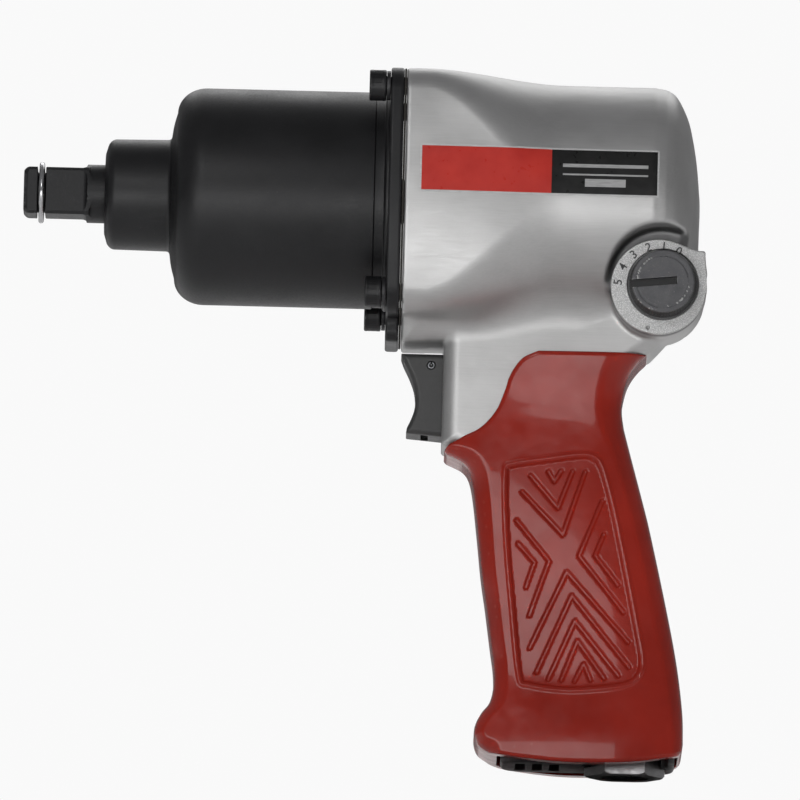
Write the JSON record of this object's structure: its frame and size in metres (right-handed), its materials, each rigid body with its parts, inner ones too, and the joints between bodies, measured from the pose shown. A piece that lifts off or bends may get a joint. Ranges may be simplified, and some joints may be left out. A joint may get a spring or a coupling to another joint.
{
  "type": "impact wrench",
  "caption": "Pistol-grip air impact wrench with a square drive, black hammer case, cast aluminium body, red grip, trigger and side regulator dial.",
  "frame": {"origin": "centre of the square drive's front face", "axes": "X along the drive axis with the nose at -X, -Z down the handle, -Y the side that carries the regulator dial"},
  "size_m": [0.1846, 0.066, 0.1886],
  "materials": {
    "black_steel": "satin black oxide and paint",
    "cast_aluminium": "tumbled die casting, brushed",
    "red_grip": "glossy moulded elastomer over the handle",
    "black_plastic": "fine texture",
    "dial_metal": "gunmetal with worn edges",
    "rating_plate": "printed foil, satin",
    "gasket_fibre": "pressed fibre",
    "bronze": "sintered, oiled",
    "hard_steel": "ground and hardened",
    "polished_steel": "ground or bright plated",
    "phenolic": "laminated cloth phenolic",
    "rubber": "nitrile"
  },
  "bodies": {
    "housing": {"hammer_case": "black_steel", "nose_bushing": "bronze", "case_gasket": "gasket_fibre", "case_screw_1": "black_steel", "case_screw_2": "black_steel", "case_screw_3": "black_steel", "case_screw_4": "black_steel", "lock_washer_1": "hard_steel", "lock_washer_2": "hard_steel", "lock_washer_3": "hard_steel", "lock_washer_4": "hard_steel", "front_end_plate": "hard_steel", "motor_cylinder": "hard_steel", "rear_end_plate": "hard_steel", "cylinder_dowel": "polished_steel", "front_bearing_outer": "polished_steel", "rear_bearing_outer": "polished_steel", "motor_housing": "cast_aluminium", "rating_plate": "rating_plate", "valve_bushing": "bronze", "valve_snap_ring": "hard_steel", "detent_ball": "polished_steel", "detent_spring": "polished_steel", "rod_bushing": "bronze", "throttle_seat": "phenolic", "throttle_spring": "polished_steel", "grip_cover": "red_grip", "exhaust_deflector": "black_plastic", "inlet_bushing": "polished_steel", "inlet_strainer": "polished_steel", "silencer": "gasket_fibre"},
    "anvil": {"anvil": "black_steel", "retaining_ring": "polished_steel", "retainer_o_ring": "rubber"},
    "hammer_frame": {"hammer_frame": "hard_steel", "upper_hammer_pin": "polished_steel", "lower_hammer_pin": "polished_steel"},
    "front_hammer": {"front_hammer": "hard_steel"},
    "rear_hammer": {"rear_hammer": "hard_steel"},
    "rotor": {"rotor": "polished_steel", "vane_1": "phenolic", "vane_2": "phenolic", "vane_3": "phenolic", "vane_4": "phenolic", "vane_5": "phenolic", "vane_6": "phenolic", "front_bearing_inner": "polished_steel", "rear_bearing_inner": "polished_steel"},
    "front_balls": {"front_bearing_balls": "polished_steel"},
    "rear_balls": {"rear_bearing_balls": "polished_steel"},
    "regulator": {"regulator_dial": "dial_metal", "valve_spool": "hard_steel", "valve_o_ring": "rubber"},
    "trigger": {"trigger": "black_plastic", "trigger_pin": "hard_steel", "throttle_rod": "polished_steel"},
    "throttle_valve": {"throttle_valve": "hard_steel"}
  },
  "joints": [
    {"name": "hammer_frame_spin", "type": "hinge", "parent": "housing", "child": "hammer_frame", "pos_m": [0.07, 0, 0], "axis": [1, 0, 0], "continuous": true},
    {"name": "rotor_spin", "type": "hinge", "parent": "housing", "child": "rotor", "pos_m": [0.13, 0, 0], "axis": [1, 0, 0], "continuous": true},
    {"name": "anvil_spin", "type": "hinge", "parent": "housing", "child": "anvil", "pos_m": [0.03, 0, 0], "axis": [1, 0, 0], "continuous": true},
    {"name": "front_balls_spin", "type": "hinge", "parent": "housing", "child": "front_balls", "pos_m": [0.1073, 0, 0], "axis": [1, 0, 0], "continuous": true},
    {"name": "rear_balls_spin", "type": "hinge", "parent": "housing", "child": "rear_balls", "pos_m": [0.1515, 0, 0], "axis": [1, 0, 0], "continuous": true},
    {"name": "front_hammer_rock", "type": "hinge", "parent": "hammer_frame", "child": "front_hammer", "pos_m": [0.0613, 0, 0.02], "axis": [1, 0, 0], "range_deg": [-3.5, 3.5]},
    {"name": "rear_hammer_rock", "type": "hinge", "parent": "hammer_frame", "child": "rear_hammer", "pos_m": [0.0809, 0, -0.02], "axis": [1, 0, 0], "range_deg": [-3.5, 3.5]},
    {"name": "regulator_turn", "type": "hinge", "parent": "housing", "child": "regulator", "pos_m": [0.173, 0, -0.0241], "axis": [0, 1, 0], "range_deg": [0, 115]},
    {"name": "trigger_pull", "type": "slide", "parent": "housing", "child": "trigger", "axis": [1, 0, 0], "range_m": [0, 0.006], "stiffness_N_per_m": 900, "springref_m": -0.005, "deforming": ["throttle_spring"]},
    {"name": "throttle_valve_lift", "type": "slide", "parent": "housing", "child": "throttle_valve", "axis": [1, 0, 0], "range_m": [0, 0.006]}
  ],
  "couplings": [
    {"joint": "rotor_spin", "follows": "hammer_frame_spin", "ratio": 1},
    {"joint": "anvil_spin", "follows": "hammer_frame_spin", "ratio": 1},
    {"joint": "front_balls_spin", "follows": "hammer_frame_spin", "ratio": 0.41},
    {"joint": "rear_balls_spin", "follows": "hammer_frame_spin", "ratio": 0.41},
    {"joint": "throttle_valve_lift", "follows": "trigger_pull", "ratio": 1}
  ]
}
